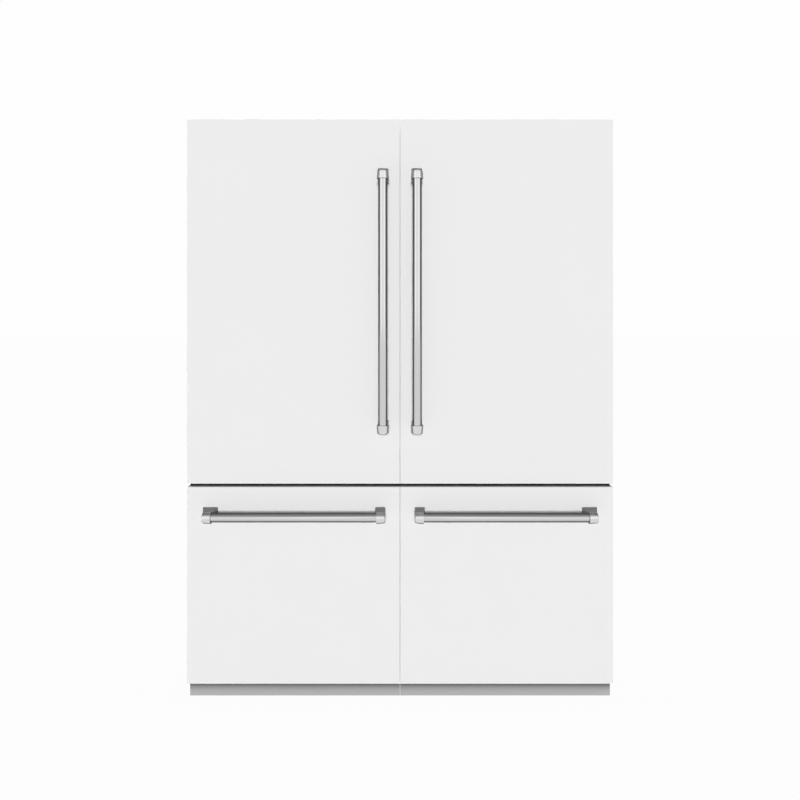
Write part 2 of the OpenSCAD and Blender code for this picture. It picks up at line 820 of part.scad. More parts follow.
module drawer_basket(s) { color(CLEAR) side(s) hung_tub(basket_y1, basket_z0, basket_z1, 0); }
module drawer_tray(s) { color(CLEAR) side(s) hung_tub(tray_y1, tray_z0, tray_z1, slide_gap); }

// ---------- the whole refrigerator ----------
outer_wrapper();
back_panel();
base_frame();
cabinet_foam();
fridge_liners();
freezer_liners();
glass_shelves();
shelf_frames();
air_duct_covers();
evaporators();
hinge_brackets();
band_trim();
kick_plates();
leveling_feet();
drawer_rails();
compressor();
condenser();
fan_shroud();
control_box();
led_lights();
control_panel();
machine_cover();
cabinet_screws();
condenser_fan();
evaporator_fan(-1);  // left_evaporator_fan
evaporator_fan(1);  // right_evaporator_fan
rear_rollers();
crisper(-1);  // left_crisper
crisper(1);  // right_crisper
door_skin(-1);  // left_door_skin
door_inner_panel(-1);  // left_door_inner_panel
door_gasket(-1);  // left_door_gasket
door_bins(-1);  // left_door_bins
door_handle_bar(-1);  // left_door_handle_bar
door_handle_posts(-1);  // left_door_handle_posts
door_skin(1);  // right_door_skin
door_inner_panel(1);  // right_door_inner_panel
door_gasket(1);  // right_door_gasket
door_bins(1);  // right_door_bins
door_handle_bar(1);  // right_door_handle_bar
door_handle_posts(1);  // right_door_handle_posts
dairy_lid();
drawer_skin(-1);  // left_drawer_skin
drawer_inner_panel(-1);  // left_drawer_inner_panel
drawer_gasket(-1);  // left_drawer_gasket
drawer_handle_bar(-1);  // left_drawer_handle_bar
drawer_handle_posts(-1);  // left_drawer_handle_posts
drawer_basket(-1);  // left_drawer_basket
drawer_tray(-1);  // left_drawer_tray
drawer_runners(-1);  // left_drawer_runners
middle_runners(-1);  // left_middle_runners
drawer_skin(1);  // right_drawer_skin
drawer_inner_panel(1);  // right_drawer_inner_panel
drawer_gasket(1);  // right_drawer_gasket
drawer_handle_bar(1);  // right_drawer_handle_bar
drawer_handle_posts(1);  // right_drawer_handle_posts
drawer_basket(1);  // right_drawer_basket
drawer_tray(1);  // right_drawer_tray
drawer_runners(1);  // right_drawer_runners
middle_runners(1);  // right_middle_runners
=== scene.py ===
"""The looks of the refrigerator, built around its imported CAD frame. Metres, +Z up, the doors face -Y."""

import json
import math

import bmesh
import bpy
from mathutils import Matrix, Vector


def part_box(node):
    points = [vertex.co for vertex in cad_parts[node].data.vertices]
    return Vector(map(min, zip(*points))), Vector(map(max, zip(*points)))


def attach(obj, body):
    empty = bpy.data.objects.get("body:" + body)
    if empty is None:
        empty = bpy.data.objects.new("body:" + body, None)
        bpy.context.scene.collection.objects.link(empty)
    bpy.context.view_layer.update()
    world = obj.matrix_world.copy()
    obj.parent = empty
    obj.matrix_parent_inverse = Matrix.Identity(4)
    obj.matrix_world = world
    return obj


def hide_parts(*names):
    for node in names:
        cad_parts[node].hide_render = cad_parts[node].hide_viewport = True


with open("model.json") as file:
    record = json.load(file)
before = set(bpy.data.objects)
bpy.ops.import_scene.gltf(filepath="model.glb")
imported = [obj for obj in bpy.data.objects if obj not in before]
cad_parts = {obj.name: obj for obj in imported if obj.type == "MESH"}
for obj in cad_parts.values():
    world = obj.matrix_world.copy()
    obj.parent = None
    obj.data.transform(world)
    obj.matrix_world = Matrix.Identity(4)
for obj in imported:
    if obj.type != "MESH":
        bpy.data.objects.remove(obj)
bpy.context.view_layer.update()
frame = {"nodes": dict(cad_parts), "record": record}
NODES = frame["nodes"]
MM = 0.001


# ---------- camera, light and stage ----------
DOOR_FACE_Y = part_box("right_door_skin")[0].y
EYE_HEIGHT = 1.377
EYE_DISTANCE = 2.107
LENS = 26.5
LENS_SHIFT = -0.105
SENSOR_WIDTH = 36
VIEW_END = 200
FRONT_LIGHT = 2.24
FRONT_LIGHT_SPREAD_DEG = 10
FRONT_LIGHT_HEIGHT_DEG = 12
SOFT_LIGHT = 0.9
GLOSS_LIGHT = 1.55
BACKDROP = 0.99
FLOOR_HALF = 40


def add_camera():
    camera = bpy.data.objects.new("camera", bpy.data.cameras.new("camera"))
    bpy.context.scene.collection.objects.link(camera)
    camera.location = (0, DOOR_FACE_Y - EYE_DISTANCE, EYE_HEIGHT)
    camera.rotation_euler = (math.radians(90), 0, 0)
    camera.data.sensor_width = SENSOR_WIDTH
    camera.data.lens = LENS
    camera.data.shift_y = LENS_SHIFT
    camera.data.clip_end = VIEW_END
    bpy.context.scene.camera = camera


def add_front_light():
    """A soft sun from straight in front, a little above level. The polished handles don't reflect it."""
    data = bpy.data.lights.new("front_light", "SUN")
    data.energy = FRONT_LIGHT
    data.angle = math.radians(FRONT_LIGHT_SPREAD_DEG)
    light = bpy.data.objects.new("front_light", data)
    bpy.context.scene.collection.objects.link(light)
    light.rotation_euler = (math.radians(90 - FRONT_LIGHT_HEIGHT_DEG), 0, 0)
    light.visible_glossy = False


class Graph:
    """Short ways to add and join shader nodes."""

    def __init__(self, tree):
        self.tree = tree
        self.tree.nodes.clear()

    def add(self, kind, **values):
        node = self.tree.nodes.new(kind)
        for key, value in values.items():
            setattr(node, key, value)
        return node

    def join(self, source, target):
        self.tree.links.new(source, target)

    def feed(self, socket, value):
        if isinstance(value, bpy.types.NodeSocket):
            self.join(value, socket)
        else:
            socket.default_value = value

    def math(self, operation, a, b=0.0, c=0.0):
        node = self.add("ShaderNodeMath", operation=operation)
        for socket, value in zip(node.inputs, (a, b, c)):
            self.feed(socket, value)
        return node.outputs[0]

    def mix(self, factor, first, second):
        node = self.add("ShaderNodeMixShader")
        for socket, source in zip(node.inputs, (factor, first, second)):
            self.join(source, socket)
        return node.outputs[0]

    def ramp(self, value, stops):
        """A grey or coloured level for a value, from (place, level) stops."""
        node = self.add("ShaderNodeValToRGB")
        elements = node.color_ramp.elements
        while len(elements) < len(stops):
            elements.new(0.5)
        for element, (place, color) in zip(elements, stops):
            element.position = place
            level = color if isinstance(color, tuple) else (color,) * 3
            element.color = (*level, 1)
        self.join(value, node.inputs["Fac"])
        return node.outputs["Color"]


def add_world():
    """White behind the object. Most soft light comes from the back and the sides, since the sun lights the
    front. Shiny parts reflect a studio with a dim ceiling and bright panels on both sides of the camera."""
    world = bpy.data.worlds.new("studio")
    bpy.context.scene.world = world
    world.use_nodes = True
    g = Graph(world.node_tree)
    direction = g.add("ShaderNodeSeparateXYZ")
    g.join(g.add("ShaderNodeTexCoord").outputs["Generated"], direction.inputs[0])
    x, y, z = direction.outputs
    elevation = g.math("MULTIPLY_ADD", g.math("ARCSINE", z), 1 / math.pi, 0.5)
    by_height = g.ramp(elevation, [
        (0.0, 0.55), (0.33, 1.0), (0.43, 0.9), (0.56, 0.91),
        (0.61, 0.83), (0.67, 0.72), (0.735, 0.36), (1.0, 0.16),
    ])
    from_front = g.math("ARCTAN2", x, g.math("MULTIPLY", y, -1.0))
    turn = g.math("DIVIDE", g.math("ABSOLUTE", from_front), math.pi)
    by_turn = g.ramp(turn, [
        (0.0, 1.0), (0.03, 1.0), (0.09, 0.76), (0.13, 0.8), (0.2, 1.0),
        (0.31, 1.04), (0.38, 0.42), (0.55, 0.2), (1.0, 0.5),
    ])
    middle = g.ramp(turn, [(0.0, 0.43), (0.012, 0.53), (0.035, 0.95)])
    past_panels = g.ramp(elevation, [(0.4, 1.0), (0.43, 0.0), (0.55, 0.0), (0.6, 1.0)])
    by_turn = g.math("MULTIPLY", by_turn, g.math("MAXIMUM", middle, past_panels))
    glossy = g.math("MULTIPLY", g.math("MULTIPLY", by_height, by_turn), GLOSS_LIGHT)
    frontal = g.math("MULTIPLY_ADD", y, -0.5, 0.5)
    diffuse = g.ramp(frontal, [(0.0, 0.95), (0.46, 0.9), (0.6, 0.2), (1.0, 0.18)])
    diffuse = g.math("MULTIPLY", diffuse, SOFT_LIGHT)
    path = g.add("ShaderNodeLightPath")
    shaders = []
    for strength in (BACKDROP, glossy, diffuse):
        background = g.add("ShaderNodeBackground")
        g.feed(background.inputs["Strength"], strength)
        background.inputs["Color"].default_value = (1, 1, 1, 1)
        shaders.append(background.outputs[0])
    white, shiny, soft = shaders
    pick_shiny = g.mix(path.outputs["Is Glossy Ray"], soft, shiny)
    picked = g.mix(path.outputs["Is Camera Ray"], pick_shiny, white)
    g.join(picked, g.add("ShaderNodeOutputWorld").inputs["Surface"])


def add_floor():
    """A floor in three strengths: as it is seen, as shiny parts reflect it and as it lights the object. It
    is seen as white as the backdrop, with a trace of shadow. It lights the object least of the three."""
    material = bpy.data.materials.new("studio_floor")
    material.use_nodes = True
    g = Graph(material.node_tree)
    shaders = []
    as_seen, as_reflected, as_bounced = (0.04, 0.955), (0.45, 0.6), (0.3, 0.22)
    for gray, strength in (as_seen, as_reflected, as_bounced):
        diffuse = g.add("ShaderNodeBsdfDiffuse")
        diffuse.inputs["Color"].default_value = (gray, gray, gray, 1)
        glow = g.add("ShaderNodeEmission")
        glow.inputs["Strength"].default_value = strength
        total = g.add("ShaderNodeAddShader")
        g.join(diffuse.outputs[0], total.inputs[0])
        g.join(glow.outputs[0], total.inputs[1])
        shaders.append(total.outputs[0])
    seen, reflected, bounced = shaders
    path = g.add("ShaderNodeLightPath")
    unseen = g.mix(path.outputs["Is Glossy Ray"], bounced, reflected)
    picked = g.mix(path.outputs["Is Camera Ray"], unseen, seen)
    g.join(picked, g.add("ShaderNodeOutputMaterial").inputs["Surface"])
    mesh = bpy.data.meshes.new("floor")
    half = FLOOR_HALF
    corners = [(-half, -half, 0), (half, -half, 0), (half, half, 0), (-half, half, 0)]
    mesh.from_pydata(corners, [], [(0, 1, 2, 3)])
    mesh.materials.append(material)
    floor = bpy.data.objects.new("floor", mesh)
    bpy.context.scene.collection.objects.link(floor)


# ---------- materials ----------
class Surface(Graph):
    """A material with a Principled shader, and the patterns that give it its detail."""

    def __init__(self, name, color, roughness, metallic=0.0, **sockets):
        self.material = bpy.data.materials.new(name)
        self.material.use_nodes = True
        super().__init__(self.material.node_tree)
        self.shader = self.add("ShaderNodeBsdfPrincipled")
        self.join(self.shader.outputs[0], self.add("ShaderNodeOutputMaterial").inputs["Surface"])
        self.color = color
        self.shader.inputs["Base Color"].default_value = (*color, 1)
        self.shader.inputs["Roughness"].default_value = roughness
        self.shader.inputs["Metallic"].default_value = metallic
        for key, value in sockets.items():
            self.shader.inputs[key.replace("_", " ")].default_value = value
        self.place = self.add("ShaderNodeTexCoord").outputs["Object"]

    def stretched(self, stretch):
        mapping = self.add("ShaderNodeMapping")
        mapping.inputs["Scale"].default_value = stretch
        self.join(self.place, mapping.inputs["Vector"])
        return mapping.outputs[0]

    def noise(self, scale, detail, stretch=(1, 1, 1)):
        node = self.add("ShaderNodeTexNoise")
        node.inputs["Scale"].default_value = scale
        node.inputs["Detail"].default_value = detail
        self.join(self.stretched(stretch), node.inputs["Vector"])
        return node.outputs["Fac"]

    def vary_color(self, pattern, amount):
        low = tuple(c * (1 - amount) for c in self.color)
        high = tuple(min(1.0, c * (1 + amount)) for c in self.color)
        self.join(self.ramp(pattern, [(0.3, low), (0.7, high)]), self.shader.inputs["Base Color"])

    def vary_roughness(self, pattern, low, high):
        node = self.add("ShaderNodeMapRange")
        node.inputs["From Min"].default_value = 0.3
        node.inputs["From Max"].default_value = 0.7
        node.inputs["To Min"].default_value = low
        node.inputs["To Max"].default_value = high
        self.join(pattern, node.inputs["Value"])
        self.join(node.outputs[0], self.shader.inputs["Roughness"])

    def bump(self, pattern, height):
        node = self.add("ShaderNodeBump")
        node.inputs["Strength"].default_value = 1.0
        node.inputs["Distance"].default_value = height
        self.join(pattern, node.inputs["Height"])
        self.join(node.outputs[0], self.shader.inputs["Normal"])


def painted(name, color, roughness, peel=0.00004):
    """Powder coat: a fine orange peel and a faint mottling."""
    s = Surface(name, color, roughness, Specular_IOR_Level=0.2)
    s.vary_color(s.noise(3.0, 4.0), 0.003)
    s.vary_roughness(s.noise(260, 3.0), roughness - 0.06, roughness + 0.06)
    s.bump(s.noise(1400, 2.0), peel)
    return s.material


def dim_in_reflections(material):
    """Shiny parts reflect this surface darker than it looks when it is seen directly."""
    g = material.node_tree
    shader = next(n for n in g.nodes if n.type == "BSDF_PRINCIPLED")
    output = next(n for n in g.nodes if n.type == "OUTPUT_MATERIAL")
    dim = g.nodes.new("ShaderNodeBsdfDiffuse")
    dim.inputs["Color"].default_value = (0.4, 0.4, 0.4, 1)
    pick = g.nodes.new("ShaderNodeMixShader")
    g.links.new(g.nodes.new("ShaderNodeLightPath").outputs["Is Glossy Ray"], pick.inputs[0])
    g.links.new(shader.outputs[0], pick.inputs[1])
    g.links.new(dim.outputs[0], pick.inputs[2])
    g.links.new(pick.outputs[0], output.inputs["Surface"])
    return material


def metal(name, color, low, high, grain):
    """Ground metal, its scratches drawn out by the pattern's stretch."""
    s = Surface(name, color, (low + high) / 2, 1.0)
    scratches = s.noise(60, 4.0, grain)
    s.vary_color(scratches, 0.035)
    s.vary_roughness(scratches, low, high)
    s.bump(scratches, 0.00002)
    return s.material


def polished(name, color, low, high, grain, painted_shades):
    """Polished steel for the handles. Its colour is painted darker where it is seen edge-on, as the painted
    shades say: a painted reflection of dark surroundings at the edges.
    """
    s = Surface(name, color, (low + high) / 2, 1.0)
    scratches = s.noise(60, 4.0, grain)
    s.vary_roughness(scratches, low, high)
    s.bump(scratches, 0.000003)
    facing = s.add("ShaderNodeLayerWeight")
    facing.inputs["Blend"].default_value = 0.5
    stops = [(place, tuple(c * shade for c in color)) for place, shade in painted_shades]
    # Painted reflection: the base colour darkens where the surface is seen edge-on.
    s.join(s.ramp(facing.outputs["Facing"], stops), s.shader.inputs["Base Color"])
    return s.material


def kick_plate_steel_with_painted_shade():
    """Satin steel with painted shade: its colour darkens towards the top, where the drawers overhang it."""
    lo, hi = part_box("kick_plates")
    s = Surface("kick_steel", (0.46, 0.46, 0.465), 0.5, 0.2)
    at = s.add("ShaderNodeSeparateXYZ")
    s.join(s.place, at.inputs[0])
    up = s.add("ShaderNodeMapRange")
    up.inputs["From Min"].default_value = lo.z
    up.inputs["From Max"].default_value = hi.z
    s.join(at.outputs["Z"], up.inputs["Value"])
    grain = s.noise(60, 4.0, (0.05, 14, 14))
    up = s.math("ADD", up.outputs[0], s.math("MULTIPLY_ADD", grain, 0.06, -0.03))
    # Painted shade: the steel's colour gets darker towards the top of the plate, under the drawers.
    painted_shades = [(0.0, 0.48), (0.25, 0.46), (0.45, 0.38), (0.6, 0.27), (0.72, 0.14), (0.8, 0.1)]
    steel = s.ramp(up, [(place, (v, v, v * 1.005)) for place, v in painted_shades])
    s.join(steel, s.shader.inputs["Base Color"])
    s.vary_roughness(grain, 0.42, 0.55)
    s.bump(grain, 0.00001)
    return s.material


def zinc(name, color):
    """Galvanised sheet with its faint crystal pattern."""
    s = Surface(name, color, 0.42, 1.0)
    cells = s.add("ShaderNodeTexVoronoi")
    cells.inputs["Scale"].default_value = 90
    s.join(s.place, cells.inputs["Vector"])
    gray = s.add("ShaderNodeRGBToBW")
    s.join(cells.outputs["Color"], gray.inputs[0])
    s.vary_color(gray.outputs[0], 0.07)
    s.vary_roughness(gray.outputs[0], 0.34, 0.5)
    s.bump(s.noise(400, 3.0), 0.00002)
    return s.material


def plastic(name, color, roughness, grain=600, depth=0.00004, **sockets):
    s = Surface(name, color, roughness, **sockets)
    s.vary_color(s.noise(8, 3.0), 0.012)
    s.vary_roughness(s.noise(90, 3.0), roughness - 0.05, roughness + 0.05)
    s.bump(s.noise(grain, 3.0), depth)
    return s.material


def clear(name, color, low, high, ior):
    """Glass or clear plastic, with the faint haze of wiping."""
    s = Surface(name, color, low, Transmission_Weight=1.0, IOR=ior)
    s.vary_color(s.noise(20, 2.0), 0.008)
    s.vary_roughness(s.noise(14, 4.0), low, high)
    s.bump(s.noise(30, 2.0), 0.00003)
    return s.material


def foam():
    s = Surface("foam", (0.80, 0.70, 0.48), 0.9)
    s.vary_color(s.noise(300, 5.0), 0.12)
    s.bump(s.noise(700, 4.0), 0.0004)
    return s.material


def light_strip():
    s = Surface("light_diffuser", (0.92, 0.92, 0.90), 0.4, Emission_Strength=1.6)
    s.shader.inputs["Emission Color"].default_value = (1.0, 0.98, 0.94, 1)
    s.vary_color(s.noise(500, 2.0), 0.03)
    s.bump(s.noise(900, 1.0, (0.05, 1, 1)), 0.0001)
    return s.material


def panel_glass():
    """Black touch glass with a row of generic lit dots."""
    lo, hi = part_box("control_panel")
    s = Surface("dark_gloss", (0.012, 0.012, 0.014), 0.08, Emission_Strength=1.4)
    s.vary_roughness(s.noise(25, 4.0), 0.05, 0.14)
    at = s.add("ShaderNodeSeparateXYZ")
    s.join(s.place, at.inputs[0])
    pitch, dot_radius = 0.03, 0.0022
    across = s.math("PINGPONG", s.math("SUBTRACT", at.outputs["X"], lo.x), pitch / 2)
    along = s.math("SUBTRACT", at.outputs["Y"], (lo.y + hi.y) / 2)
    from_dot = s.math("SUBTRACT", across, pitch / 2)
    squares = s.math("ADD", s.math("POWER", from_dot, 2.0), s.math("MULTIPLY", along, along))
    dot = s.math("LESS_THAN", s.math("SQRT", squares), dot_radius)
    s.join(s.ramp(dot, [(0.0, 0.0), (1.0, (0.75, 0.9, 1.0))]), s.shader.inputs["Emission Color"])
    return s.material


def make_materials():
    """Every material by its slot's name, except that the handles' slot has four of its own."""
    along_x, along_z, fine = (0.05, 14, 14), (14, 14, 0.05), (3, 3, 3)
    # Painted reflection: how much darker the bars and collars are painted where they are seen edge-on.
    bar_painted_shades = [(0.0, 1.0), (0.17, 0.98), (0.28, 0.6), (0.4, 0.32), (0.55, 0.2), (1.0, 0.12)]
    collar_painted_shades = [(0.0, 1.0), (0.4, 0.97), (0.52, 0.85), (0.65, 0.6), (0.8, 0.42), (1.0, 0.3)]
    return {
        "white_paint": dim_in_reflections(painted("white_paint", (0.86, 0.86, 0.86), 0.62)),
        "cabinet_paint": painted("cabinet_paint", (0.8, 0.8, 0.805), 0.5),
        "black_paint": painted("black_paint", (0.02, 0.02, 0.022), 0.38, 0.00008),
        "kick_steel": kick_plate_steel_with_painted_shade(),
        "handle_upright": polished("handle_upright", (0.67, 0.67, 0.68), 0.09, 0.16, along_z, bar_painted_shades),
        "handle_level": polished("handle_level", (0.66, 0.66, 0.67), 0.09, 0.16, along_x, bar_painted_shades),
        "handle_cast": polished("handle_cast", (0.76, 0.76, 0.77), 0.2, 0.28, fine, collar_painted_shades),
        # The arms' satin metal is darker than the collars' as painted shade for the dark faces of the arms.
        "handle_arm": metal("handle_arm", (0.42, 0.42, 0.425), 0.28, 0.4, fine),
        "galvanised_steel": zinc("galvanised_steel", (0.56, 0.57, 0.58)),
        "screw_steel": metal("screw_steel", (0.62, 0.62, 0.63), 0.22, 0.34, fine),
        "fin_aluminium": metal("fin_aluminium", (0.74, 0.75, 0.76), 0.3, 0.45, (14, 1, 1)),
        "foam": foam(),
        "liner_plastic": plastic("liner_plastic", (0.86, 0.86, 0.85), 0.3, depth=0.000015),
        "dark_plastic": plastic("dark_plastic", (0.01, 0.01, 0.011), 0.6, Specular_IOR_Level=0.25),
        "grey_plastic": plastic("grey_plastic", (0.16, 0.165, 0.17), 0.5),
        "roller_plastic": plastic("roller_plastic", (0.03, 0.03, 0.032), 0.45),
        "gasket_rubber": plastic("gasket_rubber", (0.36, 0.365, 0.37), 0.7, 900, 0.00006),
        "light_diffuser": light_strip(),
        "dark_gloss": panel_glass(),
        "shelf_glass": clear("shelf_glass", (0.88, 0.97, 0.94), 0.0, 0.04, 1.5),
        "clear_plastic": clear("clear_plastic", (0.93, 0.96, 0.97), 0.02, 0.09, 1.2),
    }


# ---------- mesh building ----------
def make_piece(name, verts, faces, material, smooth_deg=32):
    """A mesh object with its normals outwards, smooth except across sharp edges."""
    mesh = bpy.data.meshes.new(name)
    mesh.from_pydata([tuple(v) for v in verts], [], faces)
    edit = bmesh.new()
    edit.from_mesh(mesh)
    bmesh.ops.remove_doubles(edit, verts=edit.verts, dist=1e-6)
    bmesh.ops.dissolve_degenerate(edit, dist=1e-7, edges=edit.edges)
    bmesh.ops.recalc_face_normals(edit, faces=edit.faces)
    edit.to_mesh(mesh)
    edit.free()
    for polygon in mesh.polygons:
        polygon.use_smooth = True
    mesh.set_sharp_from_angle(angle=math.radians(smooth_deg))
    mesh.materials.append(material)
    piece = bpy.data.objects.new(name, mesh)
    bpy.context.scene.collection.objects.link(piece)
    return piece


def loft(rings, wrap=False):
    """Faces between closed rings of points. The ends are capped, unless the last ring joins the first."""
    count = len(rings[0])
    verts = [p for ring in rings for p in ring]
    faces = []
    for k in range(len(rings) - (0 if wrap else 1)):
        a, b = k * count, ((k + 1) % len(rings)) * count
        for i in range(count):
            j = (i + 1) % count
            faces.append((a + i, a + j, b + j, b + i))
    if not wrap:
        faces.append(tuple(reversed(range(count))))
        faces.append(tuple((len(rings) - 1) * count + i for i in range(count)))
    return verts, faces


def merged(*shapes):
    """The points and faces of several shapes as one."""
    verts, faces = [], []
    for more_verts, more_faces in shapes:
        start = len(verts)
        verts += [Vector(v) for v in more_verts]
        faces += [tuple(i + start for i in face) for face in more_faces]
    return verts, faces


def rounded_ring(u0, u1, v0, v1, radius, place, steps=6):
    """A rectangle with round corners, its points sent to 3D by place(u, v)."""
    radius = max(min(radius, (u1 - u0) / 2 - 1e-5, (v1 - v0) / 2 - 1e-5), 1e-5)
    corners = [(u1, v1, 0), (u0, v1, 90), (u0, v0, 180), (u1, v0, 270)]
    points = []
    for u, v, start in corners:
        cu = u - math.copysign(radius, u - (u0 + u1) / 2)
        cv = v - math.copysign(radius, v - (v0 + v1) / 2)
        for k in range(steps + 1):
            angle = math.radians(start + 90 * k / steps)
            points.append(place(cu + radius * math.cos(angle), cv + radius * math.sin(angle)))
    return points


def fillet_steps(radius, steps=4):
    """(inset, rise) pairs of a quarter round, from the flat face to the upright wall."""
    for k in range(steps + 1):
        angle = math.pi / 2 * k / steps
        yield radius * (1 - math.sin(angle)), radius * (1 - math.cos(angle))


def tub(lo, hi, wall, corner, rim, rim_depth, foot=0.006):
    """An open moulded tub that fills lo to hi: round corners, a filleted floor and a rolled rim."""

    def ring(inset_u, inset_v, z, radius):
        return rounded_ring(
            lo.x + inset_u, hi.x - inset_u, lo.y + inset_v, hi.y - inset_v,
            radius, lambda u, v: (u, v, z),
        )

    def wall_ring(inset, z):
        return ring(rim[0] + inset, rim[1] + inset, z, corner - inset)

    edge = 0.0008
    rings = [wall_ring(inset, lo.z + rise) for inset, rise in fillet_steps(foot)]
    rings.append(wall_ring(0, hi.z - rim_depth - edge))
    rings.append(ring(0, 0, hi.z - rim_depth, corner + rim[0]))
    rings.append(ring(0, 0, hi.z - edge, corner + rim[0]))
    rings.append(ring(edge, edge, hi.z, corner + rim[0] - edge))
    rings.append(wall_ring(wall - edge, hi.z))
    rings.append(wall_ring(wall, hi.z - edge))
    for inset, rise in reversed(list(fillet_steps(foot))):
        rings.append(wall_ring(wall + inset, lo.z + wall + rise))
    return loft(rings)


def round_box(lo, hi, radius, steps=3):
    """A box with every edge rounded."""
    radius = min(radius, *((b - a) / 2 - 1e-5 for a, b in zip(lo, hi)))

    def ring(inset, z):
        return rounded_ring(
            lo[0] + inset, hi[0] - inset, lo[1] + inset, hi[1] - inset,
            radius - inset, lambda u, v: (u, v, z), steps,
        )

    rings = [ring(inset, lo[2] + rise) for inset, rise in fillet_steps(radius, steps)]
    rings += [ring(inset, hi[2] - rise) for inset, rise in reversed(list(fillet_steps(radius, steps)))]
    return loft(rings)


def revolve(profile, origin, axis, segments=64):
    """A closed solid of revolution. The profile is (distance along the axis, radius) pairs, end to end."""
    spin = Vector(axis).to_track_quat("Z", "Y").to_matrix()
    rings = []
    for along, radius in profile:
        ring = []
        for k in range(segments):
            angle = 2 * math.pi * k / segments
            local = Vector((radius * math.cos(angle), radius * math.sin(angle), along))
            ring.append(Vector(origin) + spin @ local)
        rings.append(ring)
    return loft(rings)


# ---------- handles ----------
BAR_R = 16 * MM
BAR_TIP_R = 0.5 * MM
POST_L = 31 * MM
SOCKET = 8 * MM
ARM_STEPS = 10
ARM_INNER_FLARE = 5 * MM
ARM_ROOT = 1.2 * MM
ARM_ROOT_START = 0.9
ARM_ROOT_SPAN = 0.1


def collar_profile():
    """The end cap: a flat end with a round edge, a gently widening body and a rolled rim around the bar."""
    pairs = [
        (0, 0.5), (0, 15.4), (0.5, 16.7), (1.6, 17.8), (3.4, 18.7), (5.6, 19.2), (12, 19.7), (22, 20.4),
        (26, 20.8), (29.0, 21.0), (30.1, 20.9), (30.8, 20.4), (31, 19.7), (31, 16.3), (29.5, 16.05),
        (29.5, 0.5),
    ]
    return [(along * MM, radius * MM) for along, radius in pairs]


def arm(origin, along, foot):
    """The arm from the collar back to the door, lofted through sections at growing depth. Its foot reaches
    the given distance past the collar's end."""
    across = along.cross(Vector((0, 1, 0)))
    standoff = DOOR_FACE_Y - origin.y
    rings = []
    for k in range(ARM_STEPS + 1):
        t = k / ARM_STEPS
        root = ARM_ROOT * max(0.0, (t - ARM_ROOT_START) / ARM_ROOT_SPAN)
        low = 3 * MM - (1.5 * MM + foot) * t - root
        half = (15.5 + 2.5 * t) * MM + root

        def place(u, v, depth=standoff * t):
            return origin + across * u + along * v + Vector((0, depth, 0))

        high = POST_L - 0.6 * MM + (ARM_INNER_FLARE + 0.6 * MM) * t + root
        rings.append(rounded_ring(-half, half, low, high, 3.5 * MM, place, 5))
    return loft(rings)


def handle(side, part, materials):
    """The bar and its two end posts, for a door (upright) or a drawer (level)."""
    node = f"{side}_{part}_handle"
    lo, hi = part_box(f"{node}_bar")
    mid = (lo + hi) / 2
    upright = part == "door"
    along = Vector((0, 0, 1)) if upright else Vector((1, 0, 0))
    half = (hi - lo).dot(along) / 2
    length = 2 * half
    edge = 0.8 * MM
    profile = [(0, BAR_TIP_R), (0, BAR_R - edge), (edge, BAR_R)]
    profile += [(length * k / 8, BAR_R) for k in range(1, 8)]
    profile += [(length - edge, BAR_R), (length, BAR_R - edge), (length, BAR_TIP_R)]
    bar_metal = materials["handle_upright" if upright else "handle_level"]
    bar = make_piece(f"{node}_bar_steel", *revolve(profile, mid - along * half, along), bar_metal)
    posts_lo, posts_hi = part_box(f"{node}_posts")
    low_end, high_end = mid - along * (half + SOCKET), mid + along * (half + SOCKET)
    low_foot, high_foot = (low_end - posts_lo).dot(along), (posts_hi - high_end).dot(along)
    ends = ((low_end, along, low_foot), (high_end, -along, high_foot))
    collars = [revolve(collar_profile(), origin, inwards) for origin, inwards, _ in ends]
    arms = [arm(*end) for end in ends]
    collar_faces = sum(len(faces) for _, faces in collars)
    posts = make_piece(f"{node}_posts_steel", *merged(*collars, *arms), materials["handle_cast"], 28)
    # The arms' faces take the darker metal: painted shade.
    posts.data.materials.append(materials["handle_arm"])
    for polygon in posts.data.polygons[collar_faces:]:
        polygon.material_index = 1
    for piece, suffix in ((bar, "bar"), (posts, "posts")):
        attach(piece, f"{side}_{part}")
        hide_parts(f"{node}_{suffix}")


# ---------- gaskets ----------
def gasket(side, part, materials):
    """A magnetic door seal: a snap-in base, a soft bellows and a flat magnet bulb, in one mitred ring."""
    node = f"{side}_{part}_gasket"
    lo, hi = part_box(node)
    depth = hi.y - lo.y
    profile = [
        (0.0, 0.0), (0.0, 3.0), (1.6, 4.2), (3.6, 5.0), (2.0, 6.2), (1.6, 8.4), (2.4, 10.6), (4.0, 11.6),
        (13.0, 11.6), (14.6, 10.8), (15.4, 9.0), (15.0, 7.4), (12.4, 6.2), (12.6, 5.0), (16.6, 4.2),
        (18.0, 3.0), (18.0, 0.0),
    ]
    profile_depth = 11.6 * MM
    scale = depth / profile_depth
    rings = []
    for inset, rise in profile:
        inset, y = inset * MM, lo.y + rise * MM * scale
        rings.append(rounded_ring(
            lo.x + inset, hi.x - inset, lo.z + inset, hi.z - inset,
            7 * MM - inset * 0.3, lambda u, v, y=y: (u, y, v), 5,
        ))
    piece = make_piece(f"{node}_bellows", *loft(rings, wrap=True), materials["gasket_rubber"], 50)
    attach(piece, f"{side}_{part}")
    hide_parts(node)


# ---------- bins, baskets and crispers ----------
def islands(node):
    """The boxes (low corner, high corner) of a node's separate solids, from the lowest up."""
    edit = bmesh.new()
    edit.from_mesh(NODES[node].data)
    bmesh.ops.remove_doubles(edit, verts=edit.verts, dist=1e-5)
    left = set(edit.verts)
    found = []
    while left:
        stack, seen = [left.pop()], []
        while stack:
            vert = stack.pop()
            seen.append(vert.co.copy())
            for edge in vert.link_edges:
                other = edge.other_vert(vert)
                if other in left:
                    left.remove(other)
                    stack.append(other)
        low = Vector([min(p[i] for p in seen) for i in range(3)])
        high = Vector([max(p[i] for p in seen) for i in range(3)])
        found.append((low, high))
    edit.free()
    return sorted(found, key=lambda box: (round(box[0].z, 4), round(box[0].x, 4)))


